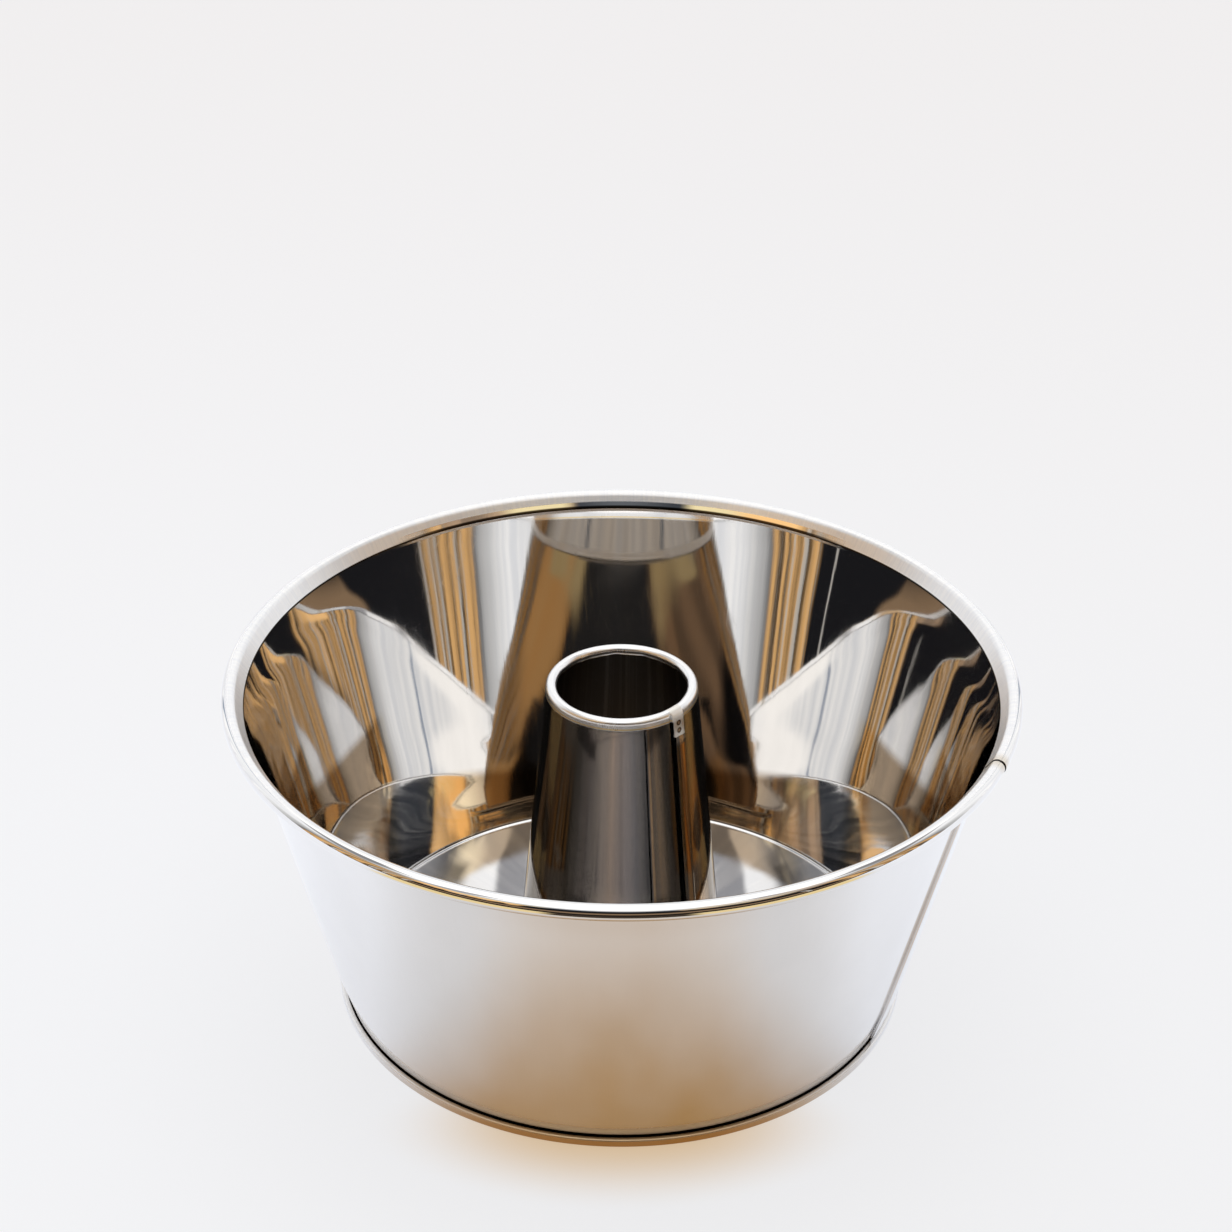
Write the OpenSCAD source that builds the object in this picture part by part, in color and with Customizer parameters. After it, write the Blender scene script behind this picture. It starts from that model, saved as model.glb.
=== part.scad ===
// Angel food cake pan in two lift-apart pieces: a flared outer pan with a wired rim and a ledge
// ring seamed to its foot, and a loose bottom plate that carries the centre tube.
// Every sheet piece is a centre line, thickened to both sides and turned about the Z axis.
// The origin is the middle of the face that the pan rests on. All lengths are in millimetres.

/* [Sheet] */
// Thickness of the pan and tube sheet
sheet_t = 0.5; // [0.4:0.05:0.6]
// Thickness of the loose bottom plate
plate_t = 0.6; // [0.5:0.05:0.8]
// Radius of the folded bends, at the middle of the sheet
bend_r = 0.5; // [0.4:0.05:0.6]
// Gap left between the layers of a folded seam
seam_gap = 0.1; // [0.05:0.05:0.2]

/* [Outer pan] */
// Diameter over the rolled rim
rim_d = 250; // [225:1:300]
// Height from the resting face to the top of the rim
pan_h = 113; // [90:1:140]
// Diameter of the wall at its foot, at the middle of the sheet
foot_d = 179.1; // [160:0.1:205]
// Diameter of the wire inside the rim
rim_wire_d = 3.8; // [3:0.1:5]
// Gap between the wire and the sheet rolled round it
wire_gap = 0.1; // [0.05:0.05:0.2]
// How far inside the wire's centre the wall turns out towards the wire
crease_in = 4.25; // [3.8:0.05:6]
// How far below the wire's centre the wall turns out towards the wire
crease_drop = 2.2; // [1.5:0.1:4]
// Angle below the horizontal, on the wall's side of the wire, at which the rolled edge ends
roll_end = 40; // [20:5:60]

/* [Ledge ring] */
// Diameter over the seam band round the foot
band_d = 185.2; // [184:0.1:187]
// Height of the seam band
band_h = 2.8; // [2.6:0.1:4]
// Width of the lip that the band folds over the wall's hook
band_lip = 1.2; // [1:0.1:1.4]
// Diameter of the opening under the loose bottom
ledge_d = 156; // [120:1:165]

/* [Loose bottom] */
// Gap all round between the plate and the wall's foot
plate_gap = 0.55; // [0.4:0.05:1]
// Diameter of the upright collar round the plate's centre hole, at the middle of the sheet
collar_d = 70.4; // [69:0.1:71]
// Diameter over the seam ring at the tube's foot
hub_d = 78; // [77:0.5:84]
// Height of the seam ring above the plate
hub_h = 3.5; // [3.4:0.1:5]
// Gap between the seam ring's inner lip and the collar
hub_lip_gap = 0.9; // [0.6:0.1:1]

/* [Centre tube] */
// Height of the tube's top above the plate
tube_h = 109.2; // [80:0.1:150]
// Diameter over the curled mouth
mouth_d = 47.8; // [40:0.1:56]
// Diameter of the curl at the mouth
curl_d = 3.4; // [2.8:0.1:4.4]
// How far round the curl the sheet runs
curl_turn = 300; // [240:10:320]
// Diameter of the tube at its foot, at the middle of the sheet
tube_foot_d = 67.6; // [62:0.1:68.6]

/* [Wall seam] */
// Direction of the wall's lock seam, from +X towards +Y
wall_seam_az = -26.5; // [-180:0.5:180]
// Width of the lock seam
wall_seam_w = 6; // [4:0.5:8]
// How far the lock seam stands out from the wall
wall_seam_proud = 1.2; // [0.8:0.1:1.6]
// Gap between the seam's lower end and the band, and between its upper end and the rim
wall_seam_end = 0.6; // [0.4:0.1:2]
// Width and depth of the line along the seam's folded edge
fold_line = 0.35; // [0.2:0.05:0.5]
// Direction of the joint in the rolled rim
rim_joint_az = -23; // [-180:0.5:180]
// Width of the joint in the rolled rim
rim_joint_w = 0.5; // [0.3:0.1:1]

/* [Tube seam] */
// Direction of the tube's lock seam
tube_seam_az = -44; // [-180:0.5:180]
// Width of the tube's lock seam
tube_seam_w = 4.2; // [3:0.1:6]
// How far the tube's lock seam stands out
tube_seam_proud = 0.9; // [0.6:0.1:1.2]
// Gap between the seam's lower end and the seam ring
tube_seam_end = 0.4; // [0.3:0.1:1]
// Length of the flat tab that is spot-welded under the curl
tab_len = 7; // [5.5:0.1:10]
// Width of the tab
tab_w = 4.8; // [4:0.1:6]
// How far the tab stands out
tab_proud = 0.5; // [0.3:0.1:0.8]
// Diameter of a spot-weld mark
weld_d = 2.2; // [1.6:0.1:2.4]
// Depth of a spot-weld mark
weld_depth = 0.15; // [0.05:0.05:0.2]
// Distance between the two spot-weld marks, and from the upper one to the curl
weld_pitch = 2.5; // [2.5:0.1:3]

/* [Hidden] */
$fn = 144;

// Steps in a folded bend, and the angle of one step round a rolled edge
bend_steps = 4;
roll_step = 15;

// Ledge ring: the band folds round the wall's hook
band_r = band_d / 2 - sheet_t / 2;
band_z = band_h - sheet_t / 2;
ledge_z = sheet_t / 2;

// Wall: an upright hook in the band, a flange, the slope, and the roll round the wire
hook_r = band_r - sheet_t - seam_gap;
hook_top = band_z - sheet_t / 2 - seam_gap;
flange_z = ledge_z + sheet_t + seam_gap;
foot_r = foot_d / 2;
roll_r = rim_wire_d / 2 + wire_gap + sheet_t / 2;
rim_centre = [rim_d / 2 - roll_r - sheet_t / 2, pan_h - roll_r - sheet_t / 2];
crease = rim_centre - [crease_in, crease_drop];
wall_foot = [foot_r, flange_z];

// Loose bottom: it lies on the ledge ring, clear of the wall
plate_z = sheet_t + plate_t / 2;
plate_top = sheet_t + plate_t;
plate_r = foot_r - sheet_t / 2 - plate_gap;

// Hub seam: the tube's edge folds over the flange of the plate's collar and under it
hub_r = hub_d / 2 - sheet_t / 2;
hub_z = plate_top + hub_h - sheet_t / 2;
collar_r = collar_d / 2;
collar_z = hub_z - sheet_t / 2 - seam_gap - plate_t / 2;
collar_flange_r = hub_r - sheet_t / 2 - seam_gap;
hub_lip_z = collar_z - plate_t / 2 - seam_gap - sheet_t / 2;
hub_lip_r = collar_r + plate_t / 2 + hub_lip_gap;

// Centre tube: a cone that curls inwards at the mouth
curl_r = curl_d / 2 - sheet_t / 2;
curl_centre = [mouth_d / 2 - curl_d / 2, plate_top + tube_h - curl_d / 2];
tube_foot = [tube_foot_d / 2, hub_z];

function unit(v) = v / norm(v);
function left_of(v) = [-v[1], v[0]];
function angle_of(v) = atan2(v[1], v[0]);

// Points on a circle from one angle to another
function arc(centre, r, from, to) =
    let (steps = ceil(abs(to - from) / roll_step))
    [for (i = [0:steps]) let (a = from + (to - from) * i / steps) centre + r * [cos(a), sin(a)]];

// The arc that rounds the corner at b on the way from a to c
function bend(a, b, c) =
    let (
        u = unit(a - b),
        v = unit(c - b),
        half = acos(u * v) / 2,
        centre = b + unit(u + v) * bend_r / sin(half),
        start = b + u * bend_r / tan(half) - centre,
        end = b + v * bend_r / tan(half) - centre
    )
    [for (i = [0:bend_steps]) centre + bend_r * unit(start + (end - start) * i / bend_steps)];

// A path whose inner corners are all rounded
function bent(path) =
    concat(
        [path[0]],
        [for (i = [1:len(path) - 2]) each bend(path[i - 1], path[i], path[i + 1])],
        [path[len(path) - 1]]
    );

// Where a straight line from p meets the circle tangentially: side is 1 or -1
function tangent_angle(p, centre, r, side) = angle_of(p - centre) + side * acos(r / norm(p - centre));

// Direction square to the path at a point, as long as the mitre there needs
function mitre(path, i) =
    let (
        last = len(path) - 1,
        a = left_of(unit(path[max(i, 1)] - path[max(i, 1) - 1])),
        b = left_of(unit(path[min(i, last - 1) + 1] - path[min(i, last - 1)])),
        m = unit(a + b)
    )
    m / (m * a);

// The path moved sideways by d
function beside(path, d) = [for (i = [0:len(path) - 1]) path[i] + d * mitre(path, i)];

// Outline between two distances from a centre line
function strip(path, d_left, d_right) =
    let (other = beside(path, d_right))
    concat(beside(path, d_left), [for (i = [len(other) - 1:-1:0]) other[i]]);

// A sheet of the given thickness, turned about the Z axis
module turned(path, t) {
    rotate_extrude() polygon(strip(path, t / 2, -t / 2));
}

// The part of a cone's wall between two distances outside its centre line, cut to a slice of
// width w that points in the direction az; shift moves the slice sideways
module outside_strip(low, high, from, to, az, w, z0, z1, shift = 0) {
    intersection() {
        rotate_extrude() polygon(strip([low, high], -from, -to));
        rotate([0, 0, az]) translate([0, shift - w / 2, z0]) cube([rim_d, w, z1 - z0]);
    }
}

// The wall meets its roll on the inner side of the wire and goes over the top
wall_path = concat(
    bent([[hook_r, hook_top], [hook_r, flange_z], wall_foot, crease]),
    arc(rim_centre, roll_r, 360 + tangent_angle(crease, rim_centre, roll_r, -1), roll_end - 180)
);

// The tube meets its curl on the outer side and goes over the top
curl_from = tangent_angle(tube_foot, curl_centre, curl_r, 1);
curl = arc(curl_centre, curl_r, curl_from, curl_from + curl_turn);
tube_top = curl[0];
tube_path = concat(
    bent([[hub_lip_r, hub_lip_z], [hub_r, hub_lip_z], [hub_r, hub_z], tube_foot, tube_top]),
    [for (i = [1:len(curl) - 1]) curl[i]]
);

module wall() {
    seam_from = band_h + wall_seam_end;
    seam_to = crease[1] - wall_seam_end;
    face = sheet_t / 2;
    color([0.80, 0.79, 0.77])
    difference() {
        union() {
            turned(wall_path, sheet_t);
            outside_strip(wall_foot, crease, 0, face + wall_seam_proud,
                wall_seam_az, wall_seam_w - fold_line, seam_from, seam_to, fold_line / 2);
            // The lock seam's folded edge overhangs a line along the wall
            outside_strip(wall_foot, crease, face + fold_line, face + wall_seam_proud,
                wall_seam_az, 2 * fold_line, seam_from, seam_to, fold_line - wall_seam_w / 2);
        }
        // The joint in the rolled rim
        rotate([0, 0, rim_joint_az])
            translate([rim_centre[0] - roll_r - sheet_t, -rim_joint_w / 2, crease[1]])
            cube([rim_d, rim_joint_w, pan_h]);
    }
}

module rim_wire() {
    color([0.62, 0.62, 0.63])
    rotate_extrude() translate(rim_centre) circle(d = rim_wire_d, $fn = 48);
}

module ledge_ring() {
    color([0.76, 0.75, 0.72])
    turned(
        bent([[ledge_d / 2, ledge_z], [band_r, ledge_z], [band_r, band_z], [band_r - band_lip, band_z]]),
        sheet_t
    );
}

module bottom_plate() {
    color([0.84, 0.84, 0.83])
    turned(
        bent([[plate_r, plate_z], [collar_r, plate_z], [collar_r, collar_z], [collar_flange_r, collar_z]]),
        plate_t
    );
}

module centre_tube() {
    lean = angle_of(tube_top - tube_foot) - 90;
    seam_from = plate_top + hub_h + tube_seam_end;
    tab_top = curl_centre[1];
    tab_from = tab_top - tab_len;
    face = sheet_t / 2;
    color([0.72, 0.71, 0.69])
    difference() {
        union() {
            turned(tube_path, sheet_t);
            outside_strip(tube_foot, tube_top, 0, face + tube_seam_proud,
                tube_seam_az, tube_seam_w, seam_from, tab_from);
            outside_strip(tube_foot, tube_top, 0, face + tab_proud, tube_seam_az, tab_w, tab_from, tab_top);
        }
        // Spot-weld marks in the tab, square to the cone
        for (i = [1:2]) {
            mark_z = tab_top - i * weld_pitch;
            mark_r = tube_top[0] + (tube_top[1] - mark_z) * tan(lean);
            rotate([0, 0, tube_seam_az])
                translate([mark_r, 0, mark_z])
                rotate([0, 90 - lean, 0])
                translate([0, 0, face + tab_proud - weld_depth])
                cylinder(d = weld_d, h = weld_d);
        }
    }
}

wall();
rim_wire();
ledge_ring();
bottom_plate();
centre_tube();
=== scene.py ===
# %% [markdown]
# # An angel food cake pan of bright sheet steel
#
# The pan is two things that lift apart. The outer pan is a flared wall whose top edge is rolled
# round a wire and whose foot is folded into a ledge ring. The loose bottom is a flat plate that
# lies on that ledge and carries the centre tube. All of it is thin polished stainless sheet, so
# what the eye sees is mostly reflections: the shapes have to be smooth and exact, and the studio
# round the pan matters as much as the steel.
#
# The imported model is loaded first. It is a frame that is never moved: every size below is read
# from it, or is a detail that lies inside it.

# %% The frame
import math
from types import SimpleNamespace

import bpy
import numpy as np
from mathutils import Matrix, Vector


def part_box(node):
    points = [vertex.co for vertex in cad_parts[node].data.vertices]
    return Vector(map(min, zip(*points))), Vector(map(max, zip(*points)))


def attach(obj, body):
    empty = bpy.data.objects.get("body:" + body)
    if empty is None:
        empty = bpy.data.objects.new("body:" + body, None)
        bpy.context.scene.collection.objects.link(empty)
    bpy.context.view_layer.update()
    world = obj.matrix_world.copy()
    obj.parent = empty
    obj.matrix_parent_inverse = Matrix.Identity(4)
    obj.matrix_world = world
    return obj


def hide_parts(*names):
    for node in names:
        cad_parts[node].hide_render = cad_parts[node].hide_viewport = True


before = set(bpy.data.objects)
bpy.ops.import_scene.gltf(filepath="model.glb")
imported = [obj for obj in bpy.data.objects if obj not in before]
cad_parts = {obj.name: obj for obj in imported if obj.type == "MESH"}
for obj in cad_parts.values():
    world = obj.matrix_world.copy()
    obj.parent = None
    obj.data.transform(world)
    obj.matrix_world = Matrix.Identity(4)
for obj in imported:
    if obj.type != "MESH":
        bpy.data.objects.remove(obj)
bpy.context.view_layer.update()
mm = 0.001
full_turn = 2 * math.pi

# %% [markdown]
# ## Sizes
#
# A maker of sheet metal thinks of the middle of the sheet: its line in a section, and half the
# thickness to each side. The frame gives the outside of each piece, so the radii and heights
# here come from the nodes' boxes, and only the small details are written as numbers. Everything
# is in metres, in (distance from the axis, height) for a section.

# %% Sizes from the frame
def reach(node):
    """Largest distance from the axis, lowest and highest point of a CAD node."""
    low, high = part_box(node)
    return high.x, low.z, high.z

rim_reach, wall_low, pan_top = reach("wall")
wire_reach, wire_low, wire_high = reach("rim_wire")
band_reach, _, band_top = reach("ledge_ring")
plate_reach, plate_low, collar_top = reach("bottom_plate")
hub_reach, hub_low, tube_high = reach("centre_tube")
print(f"rim {2 * rim_reach / mm:.2f} mm across, {pan_top / mm:.2f} mm high")

# %% Sizes of the sheet and its bends
# The plate lies on the ledge, so its underside is one sheet above the floor
sheet = plate_low
plate_sheet = 0.6 * mm
bend = 0.5 * mm
bend_step = math.radians(14)
seam_gap = 0.1 * mm
print(f"sheet {sheet / mm:.2f} mm, plate {plate_sheet / mm:.2f} mm")

# %% Centres and corners of the sections
wire_r = (wire_high - wire_low) / 2
rim_centre = np.array([wire_reach - wire_r, (wire_high + wire_low) / 2])
roll_r = rim_reach - rim_centre[0] - sheet / 2
roll_end = math.radians(-140)
crease = rim_centre - np.array([4.25, 2.2]) * mm
wall_foot = np.array([89.55 * mm, wall_low + sheet / 2])

band_r = band_reach - sheet / 2
band_z = band_top - sheet / 2
band_lip = 1.2 * mm
ledge_inner = 78 * mm
hook = np.array([band_r - sheet - seam_gap, band_z - sheet / 2 - seam_gap])

plate_z = plate_low + plate_sheet / 2
plate_wider = 0.35 * mm
collar_r = 35.2 * mm
collar_z = collar_top - plate_sheet / 2

hub_r = hub_reach - sheet / 2
hub_z = 4.35 * mm
hub_lip = np.array([36.4 * mm, hub_low + sheet / 2])
tube_foot = np.array([33.8 * mm, hub_z])
curl_r = 1.45 * mm
curl_centre = np.array([22.2 * mm, tube_high - curl_r - sheet / 2])
curl_turn = math.radians(300)
print(f"roll of radius {roll_r / mm:.2f} mm round a wire of radius {wire_r / mm:.2f} mm")

# %% [markdown]
# ## Lines in a section
#
# A section of bent sheet is made of straight runs and round bends, so two small functions give
# both as arrays of points. Straight runs have their points closer together near the ends. That
# keeps the smooth shading flat right up to the bend, which matters on a mirror: a reflection
# swims wherever the shading turns before the metal does.

# %% Straight runs and bends
def unit(v):
    """The vector divided by its own length."""
    return v / np.linalg.norm(v, axis=-1, keepdims=True)

def along(line):
    """Distance of each point from the first along the line: the running sum of the steps."""
    return np.concatenate([[0], np.cumsum(np.linalg.norm(np.diff(line, axis=0), axis=1))])

def run(a, b, rows):
    """Points from a to b; the share of the way is half a cosine wave, so they crowd at both ends."""
    share = (1 - np.cos(np.linspace(0, np.pi, rows))) / 2
    return a + share[:, None] * (b - a)

def arc(centre, radius, start, end, rows):
    """Points on a circle: the centre plus the radius times (cosine, sine) of an even angle."""
    angle = np.linspace(start, end, rows)[:, None]
    return centre + radius * np.concatenate([np.cos(angle), np.sin(angle)], axis=1)

def corner(a, b, c):
    """The bend at b on the way from a to c: its circle touches both straight runs."""
    to_a, to_c = unit(a - b), unit(c - b)
    half = math.acos(np.clip(to_a @ to_c, -1, 1)) / 2
    centre = b + unit(to_a + to_c) * bend / math.sin(half)
    start = b + to_a * bend / math.tan(half) - centre
    end = b + to_c * bend / math.tan(half) - centre
    first, last = math.atan2(start[1], start[0]), math.atan2(end[1], end[0])
    turn = (last - first + math.pi) % full_turn - math.pi
    rows = 3 + int(abs(turn) / bend_step)
    return arc(centre, bend, first, first + turn, rows)

print("points of a square bend:", len(corner(*np.array([[1.0, 0.0], [0.0, 0.0], [0.0, 1.0]]))))

# %% Whole sections
def section(corners, rows):
    """A centre line through the corners: a bend at each inner one, and between them straight runs
    of the given numbers of rows."""
    corners = np.array(corners)
    bends = [corner(*corners[i - 1:i + 2]) for i in range(1, len(corners) - 1)]
    starts = [corners[0]] + [b[-1] for b in bends]
    ends = [b[0] for b in bends] + [corners[-1]]
    parts = [run(starts[0], ends[0], rows[0])]
    for b, start, end, count in zip(bends, starts[1:], ends[1:], rows[1:]):
        parts += [b[1:-1], run(start, end, count)]
    return np.concatenate(parts)

def touching(point, centre, radius, side):
    """Angle at which a straight line from the point touches the circle, on one side or the other."""
    away = point - centre
    return math.atan2(away[1], away[0]) + side * math.acos(radius / np.hypot(*away))

print("rows of a bend between two runs of 4:", len(section([[1, 0], [0, 0], [0, 1]], [4, 4])))

# %% [markdown]
# ## The four centre lines
#
# Each line follows its sheet from one cut edge to the other. The wall's starts in the hook under
# the band, goes round the foot, up the slope, over a crease and round the wire. The tube's starts
# under the plate's collar and ends inside the curl. In both, the last straight run has to meet a
# circle without a kink, so the point where a tangent touches that circle is worked out first.

# %% Centre lines
roll_from = touching(crease, rim_centre, roll_r, -1) % full_turn
roll = arc(rim_centre, roll_r, roll_from, roll_end, 36)
wall_corners = [hook, [hook[0], wall_foot[1]], wall_foot, crease, roll[0]]
wall_line = np.concatenate([section(wall_corners, [4, 5, 46, 8]), roll[1:]])

curl_from = touching(tube_foot, curl_centre, curl_r, 1)
curl = arc(curl_centre, curl_r, curl_from, curl_from + curl_turn, 36)
tube_corners = [hub_lip, [hub_r, hub_lip[1]], [hub_r, hub_z], tube_foot, curl[0]]
tube_line = np.concatenate([section(tube_corners, [4, 5, 5, 40]), curl[1:]])

ring_corners = [[ledge_inner, sheet / 2], [band_r, sheet / 2], [band_r, band_z], [band_r - band_lip, band_z]]
ring_line = section(ring_corners, [12, 6, 4])

plate_edge = plate_reach - plate_sheet / 2 + plate_wider
collar_out = hub_r - sheet / 2 - seam_gap
plate_corners = [[plate_edge, plate_z], [collar_r, plate_z], [collar_r, collar_z], [collar_out, collar_z]]
plate_line = section(plate_corners, [70, 5, 5])
print("rows of the centre lines:", [len(x) for x in (wall_line, tube_line, ring_line, plate_line)])

# %% [markdown]
# ## Sheet turned about the axis
#
# The spinning and rolling of a pan gives a surface of revolution, so each piece is one grid: a
# closed outline of the sheet, carried round the axis. The outline is the centre line moved half a
# thickness to its left, a half round at the end, the same to its right, and a half round back.
# Every point remembers where it lies along the line and on which side, because seams and dents
# are added to one side, or to both, as functions of that place and of the angle round the pan.

# %% Outline of a sheet
cap_rows = 5

def left_normals(line):
    """Unit normals to the left of the line; at a point they are the sum of those of its two stretches."""
    step = unit(np.diff(line, axis=0))
    left = np.stack([-step[:, 1], step[:, 0]], axis=1)
    return unit(np.concatenate([left[:1], left[:-1] + left[1:], left[-1:]]))

def outline(line, thickness):
    """Closed outline of a sheet: points and their left normals, and as columns their distance r from
    the axis, their height z, their place along the line and their side, from 1 (left) to -1 (right)."""
    normal, half, place = left_normals(line), thickness / 2, along(line)
    angle = np.linspace(0, math.pi, cap_rows + 2)[1:-1, None]
    ahead = np.stack([normal[:, 1], -normal[:, 0]], axis=1)
    def cap(i, across, forward):
        """Half a circle round the end i of the line, from the one side to the other."""
        return line[i] + half * (np.cos(angle) * across + np.sin(angle) * forward)
    caps = cap(-1, normal[-1], ahead[-1]), cap(0, -normal[0], -ahead[0])
    one = np.ones(cap_rows)
    points = np.concatenate([line + half * normal, caps[0], (line - half * normal)[::-1], caps[1]])
    normals = np.concatenate([normal, normal[-1] * one[:, None], normal[::-1], normal[0] * one[:, None]])
    places = np.concatenate([place, place[-1] * one, place[::-1], 0 * one])
    sides = np.concatenate([0 * place + 1, np.cos(angle[:, 0]), 0 * place - 1, -np.cos(angle[:, 0])])
    return SimpleNamespace(points=points, normals=normals, r=points[:, :1], z=points[:, 1:],
        place=places[:, None], side=sides[:, None])

print("rows round the wall's section:", len(outline(wall_line, sheet).points))

# %% Grid and mesh
def turned(skin, azimuth, lift=0):
    """The outline carried round the axis: each point, moved along its normal by lift, stands at
    (r cos a, r sin a, z) of each azimuth a."""
    moved = skin.points[:, None, :] + skin.normals[:, None, :] * np.asarray(lift)[..., None]
    r, z = moved[..., 0], moved[..., 1]
    return np.stack([r * np.cos(azimuth), r * np.sin(azimuth), z + 0 * azimuth], axis=-1)

def closed_mesh(name, points, side):
    """A mesh from a grid of points (rows, columns, 3) that closes both ways, turned to face outwards.
    The attribute left is 1 on the left side of the centre line and 0 on its right side."""
    rows, columns = points.shape[:2]
    i, j = np.meshgrid(np.arange(rows), np.arange(columns), indexing="ij")
    def number(row, column):
        """Number of a point; after the last row or column comes the first one again."""
        return (row % rows) * columns + column % columns
    faces = np.stack([number(i, j), number(i, j + 1), number(i + 1, j + 1), number(i + 1, j)], axis=-1)
    faces = faces.reshape(-1, 4)
    flat = points.reshape(-1, 3)
    p, q, r, s = (flat[faces[:, k]] for k in range(4))
    # Six times the volume inside, as the sum over all faces, is negative if they face inwards
    if np.einsum("ij,ij->", p, np.cross(q - p, r - p) + np.cross(r - p, s - p)) < 0:
        faces = faces[:, ::-1]
    mesh = bpy.data.meshes.new(name)
    mesh.from_pydata(flat.tolist(), [], faces.tolist())
    mesh.shade_smooth()
    left = mesh.attributes.new("left", "FLOAT", "POINT")
    left.data.foreach_set("value", np.repeat((side > 0) * 1.0, columns))
    piece = bpy.data.objects.new(name, mesh)
    bpy.context.scene.collection.objects.link(piece)
    print(f"{name}: {len(faces)} faces")
    return piece

def smooth(low, high, x):
    """0 below low, 1 above high, and 3t^2 - 2t^3 of the share t between them."""
    t = np.clip((x - low) / (high - low), 0, 1)
    return t * t * (3 - 2 * t)

print("a quarter of the way up a soft step:", smooth(0, 1, 0.25))

# %% [markdown]
# ## Columns with a seam in them
#
# The wall is a strip of sheet bent into a cone and locked to itself by a folded seam, which
# stands out as a flat strip on the outside. It could be made with a Screw modifier and a separate
# strip, but then the seam would be a loose box on the cone. Here the columns of the grid carry
# the seam's own section instead: near the seam each column has a sideways place and a height,
# and the fold really hangs over the dark line under it.

# %% Azimuths of the columns
def even_azimuths(count):
    """Angles round the axis in equal steps."""
    return np.arange(count) / count * full_turn

def wrapped(angle):
    """The same angle, between minus and plus half a turn."""
    return (angle + math.pi) % full_turn - math.pi

def columns_round(count, features):
    """Columns round the axis. Each feature is (azimuth, clear half-angle, sideways places): the even
    columns inside its clearance make room for its own. Gives azimuth, sideways place and feature."""
    azimuth = even_azimuths(count)
    outside = [np.abs(wrapped(azimuth - centre)) > clear for centre, clear, _ in features]
    azimuth = azimuth[np.all(outside, axis=0)]
    side, kind = 0 * azimuth, np.full(len(azimuth), -1)
    for k, (centre, _, places) in enumerate(features):
        azimuth = np.append(azimuth, np.full(len(places), centre % full_turn))
        side = np.append(side, places)
        kind = np.append(kind, np.full(len(places), k))
    order = np.lexsort((side, azimuth))
    return azimuth[order], side[order], kind[order]

print("eight even columns stand at", np.degrees(even_azimuths(8)).tolist(), "degrees")

# %% Lock seam and rim joint
seam_az, joint_az = math.radians(-26.5), math.radians(-23)
seam_clear, joint_clear = math.radians(2.7), math.radians(0.75)
half_w, seam_proud, fold_line = 3 * mm, 1.2 * mm, 0.35 * mm
edge = 0.12 * mm
# Across the lock seam, from the folded edge with its line to the plain edge: place and height
seam_section = np.array([
    (-half_w - 0.9 * mm, 0), (-half_w - 0.2 * mm, 0), (-half_w + fold_line, 0),
    (-half_w + fold_line, fold_line), (-half_w + edge, fold_line), (-half_w, fold_line + edge),
    (-half_w, seam_proud - edge), (-half_w + edge, seam_proud), (-half_w + 4 * edge, seam_proud),
    (0, seam_proud), (half_w - 4 * edge, seam_proud), (half_w - edge, seam_proud),
    (half_w, seam_proud - edge), (half_w + edge / 2, edge / 2), (half_w + 2 * edge, 0),
    (half_w + 0.9 * mm, 0)])
seam_place, seam_height = seam_section.T
flat_place = np.linspace(seam_place[0], seam_place[-1], len(seam_place))
joint_w = 0.5 * mm
joint_place = joint_w * np.array([-3, -1.2, -0.55, -0.42, 0, 0.42, 0.55, 1.2, 3])
in_seam, in_joint = 0, 1
wall_az, wall_side, wall_kind = columns_round(
    398, [(seam_az, seam_clear, flat_place), (joint_az, joint_clear, joint_place)])
print("columns of the wall:", len(wall_az))

# %% [markdown]
# ## Flutes and bows of the wall
#
# Sheet this thin is never a perfect cone. Rolling leaves shallow flutes that run up the slope,
# and they break every reflection into upright streaks, so a few waves round the pan are added
# to both sides of the sheet. They die out at the stiff rim and foot. The slope isn't quite
# straight either: away from the far side it bows by less than a millimetre near the foot and near
# the rim, which bends the mirrored edges of the room into curves.

# %% Waves round the axis
def waves(azimuth, terms, seed):
    """A sum of sine waves round the axis, one for each (number of waves, height), with random starts."""
    start = np.random.default_rng(seed).uniform(0, full_turn, len(terms))
    return sum(h * np.sin(n * azimuth + s) for (n, h), s in zip(terms, start))

wall_flutes = [(3, 0.06 * mm), (7, 0.02 * mm), (16, 0.005 * mm), (29, 0.0022 * mm), (47, 0.0014 * mm),
    (83, 0.0008 * mm)]
wall_dents = [(5, 0.02 * mm), (11, 0.006 * mm), (23, 0.002 * mm)]
dent_height = 17 * mm
print("waves that add up to the flutes:", len(wall_flutes), "and to the dents:", len(wall_dents))

# %% Bows of the slope
bow_heights = np.array([0, 6, 14, 21, 94, 101, 108.3]) * mm
# Slopes at those heights, and the angles from the back, in degrees, between which they come in
wall_bows = [([0.034, 0.064, 0.054, 0.0025, 0, 0, 0], 12, 42), ([0, 0, 0, 0, 0, 0.0495, 0.0545], 38, 66)]

def bow(z, slopes):
    """How far the slope stands out from a straight line: the integral of a slope given at a few
    heights, less the straight line between its own ends."""
    fine = np.linspace(0, crease[1], 400)
    rise = np.cumsum(np.interp(fine, bow_heights, slopes)) * (fine[1] - fine[0])
    rise = rise - rise[-1] * fine / fine[-1]
    return np.interp(z, fine, rise)

largest_bows = [np.abs(bow(bow_heights, slopes)).max() / mm for slopes, _, _ in wall_bows]
print("largest bows:", [f"{height:.2f} mm" for height in largest_bows])

# %% The wall
wall_place = along(wall_line)
place_of_foot = wall_place[np.argmin(np.hypot(*(wall_line - wall_foot).T))]
place_of_crease = wall_place[np.argmin(np.hypot(*(wall_line - crease).T))]
seam_low, seam_high, seam_end = band_top + 0.6 * mm, crease[1] - 0.6 * mm, 0.35 * mm
slit_depth, step_depth = 0.42 * mm, 0.16 * mm
slit_edges = 0.42, 0.55

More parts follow.
